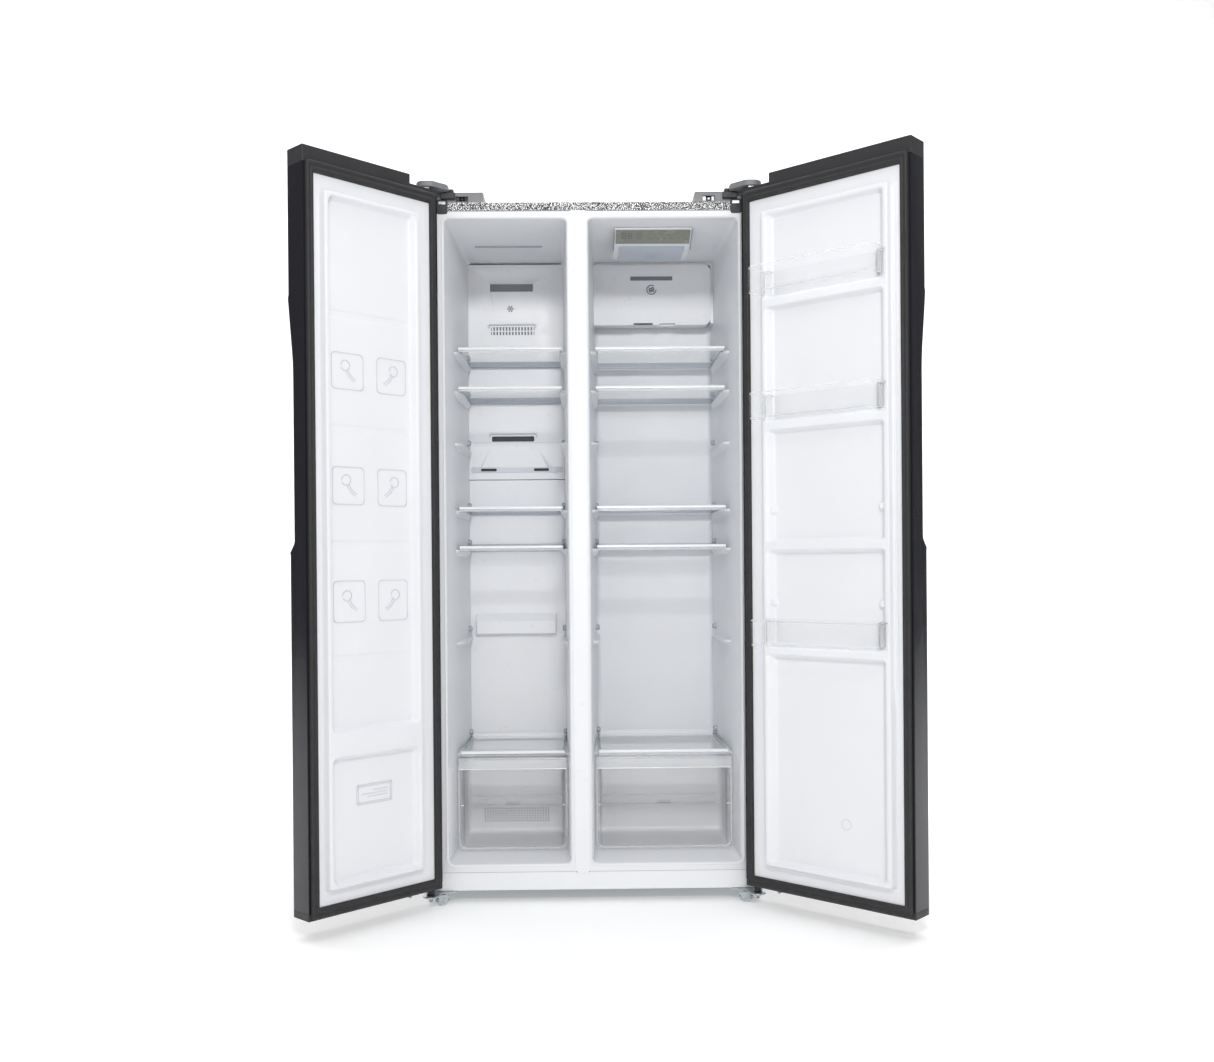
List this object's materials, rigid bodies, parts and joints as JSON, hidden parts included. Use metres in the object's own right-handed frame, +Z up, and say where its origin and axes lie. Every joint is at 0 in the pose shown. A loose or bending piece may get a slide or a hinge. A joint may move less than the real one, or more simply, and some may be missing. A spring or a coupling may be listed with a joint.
{
  "type": "side by side refrigerator",
  "caption": "Tall two-door refrigerator: freezer on the left and fridge on the right, with hinged doors, shelves, drawers and door bins.",
  "frame": {"origin": "on the floor, in the middle of the box round the refrigerator as stored, with both doors open", "axes": "+Z up; -Y is the front, where the doors are; +X is to the right for someone facing the front"},
  "size_m": [1.4271, 0.9588, 1.77],
  "materials": {
    "white_plastic": "satin",
    "liner_white": "satin",
    "side_paint": "satin",
    "stucco_steel": "satin",
    "zinc_steel": "satin",
    "foam": "matte",
    "display_face": "satin",
    "lamp_lens": "satin",
    "grey_plastic": "satin",
    "black_paint": "gloss",
    "black_plastic": "matte",
    "bare_aluminium": "satin",
    "shelf_glass": "polished",
    "clear_plastic": "gloss",
    "door_paint": "gloss",
    "charcoal_plastic": "satin",
    "gasket_rubber": "satin"
  },
  "bodies": {
    "cabinet": {"back_panel": "zinc_steel", "base_pan": "zinc_steel", "bottom_hinge_left": "zinc_steel", "bottom_hinge_right": "zinc_steel", "bottom_rail": "white_plastic", "cabinet_foam": "foam", "compartment_cover": "zinc_steel", "compressor": "black_paint", "control_housing": "white_plastic", "crisper_cover": "shelf_glass", "display_panel": "display_face", "evaporator": "bare_aluminium", "freezer_drawer_cover": "shelf_glass", "freezer_duct_cover": "white_plastic", "freezer_liner": "liner_white", "freezer_return_cover": "white_plastic", "freezer_shelf_1": "shelf_glass", "freezer_shelf_2": "shelf_glass", "freezer_shelf_3": "shelf_glass", "freezer_shelf_4": "shelf_glass", "fridge_air_duct": "white_plastic", "fridge_liner": "liner_white", "fridge_shelf_1": "shelf_glass", "fridge_shelf_2": "shelf_glass", "fridge_shelf_3": "shelf_glass", "fridge_shelf_4": "shelf_glass", "lamp_lens": "lamp_lens", "mullion_strip": "white_plastic", "power_inlet": "black_plastic", "side_panel_left": "side_paint", "side_panel_right": "side_paint", "top_hinge_cover_left": "grey_plastic", "top_hinge_cover_right": "grey_plastic", "top_hinge_left": "zinc_steel", "top_hinge_right": "zinc_steel", "top_panel": "stucco_steel"},
    "freezer_door": {"freezer_door_bottom_cap": "charcoal_plastic", "freezer_door_foam": "foam", "freezer_door_gasket": "gasket_rubber", "freezer_door_grip": "charcoal_plastic", "freezer_door_liner": "liner_white", "freezer_door_skin": "door_paint", "freezer_door_top_cap": "charcoal_plastic"},
    "fridge_door": {"fridge_door_bottom_cap": "charcoal_plastic", "fridge_door_foam": "foam", "fridge_door_gasket": "gasket_rubber", "fridge_door_grip": "charcoal_plastic", "fridge_door_liner": "liner_white", "fridge_door_skin": "door_paint", "fridge_door_top_cap": "charcoal_plastic", "door_bin_1": "clear_plastic", "door_bin_2": "clear_plastic", "door_bin_3": "clear_plastic"},
    "freezer_drawer": {"freezer_drawer": "clear_plastic"},
    "crisper_drawer": {"crisper_drawer": "clear_plastic"},
    "evaporator_fan": {"evaporator_fan": "black_plastic"},
    "levelling_foot_left": {"levelling_foot_left": "black_plastic"},
    "levelling_foot_right": {"levelling_foot_right": "black_plastic"},
    "rear_roller_left": {"rear_roller_left": "black_plastic"},
    "rear_roller_right": {"rear_roller_right": "black_plastic"}
  },
  "joints": [
    {"name": "freezer_door_hinge", "type": "hinge", "parent": "cabinet", "child": "freezer_door", "pos_m": [-0.43349, -0.14391, 0.9], "axis": [0, 0, -1], "range_deg": [-134.6, 0]},
    {"name": "fridge_door_hinge", "type": "hinge", "parent": "cabinet", "child": "fridge_door", "pos_m": [0.36651, -0.14391, 0.9], "axis": [0, 0, 1], "range_deg": [-137.3, 0]},
    {"name": "freezer_drawer_slide", "type": "slide", "parent": "cabinet", "child": "freezer_drawer", "axis": [0, -1, 0], "range_m": [0, 0.18]},
    {"name": "crisper_drawer_slide", "type": "slide", "parent": "cabinet", "child": "crisper_drawer", "axis": [0, -1, 0], "range_m": [0, 0.18]},
    {"name": "evaporator_fan_spin", "type": "hinge", "parent": "cabinet", "child": "evaporator_fan", "pos_m": [-0.24199, 0.34689, 1.3], "axis": [0, 1, 0], "continuous": true},
    {"name": "levelling_foot_left_turn", "type": "hinge", "parent": "cabinet", "child": "levelling_foot_left", "pos_m": [-0.41349, -0.08511, 0], "axis": [0, 0, 1], "continuous": true},
    {"name": "levelling_foot_right_turn", "type": "hinge", "parent": "cabinet", "child": "levelling_foot_right", "pos_m": [0.34651, -0.08511, 0], "axis": [0, 0, 1], "continuous": true},
    {"name": "rear_roller_left_spin", "type": "hinge", "parent": "cabinet", "child": "rear_roller_left", "pos_m": [-0.39349, 0.43789, 0.0125], "axis": [1, 0, 0], "continuous": true},
    {"name": "rear_roller_right_spin", "type": "hinge", "parent": "cabinet", "child": "rear_roller_right", "pos_m": [0.32651, 0.43789, 0.0125], "axis": [1, 0, 0], "continuous": true}
  ]
}
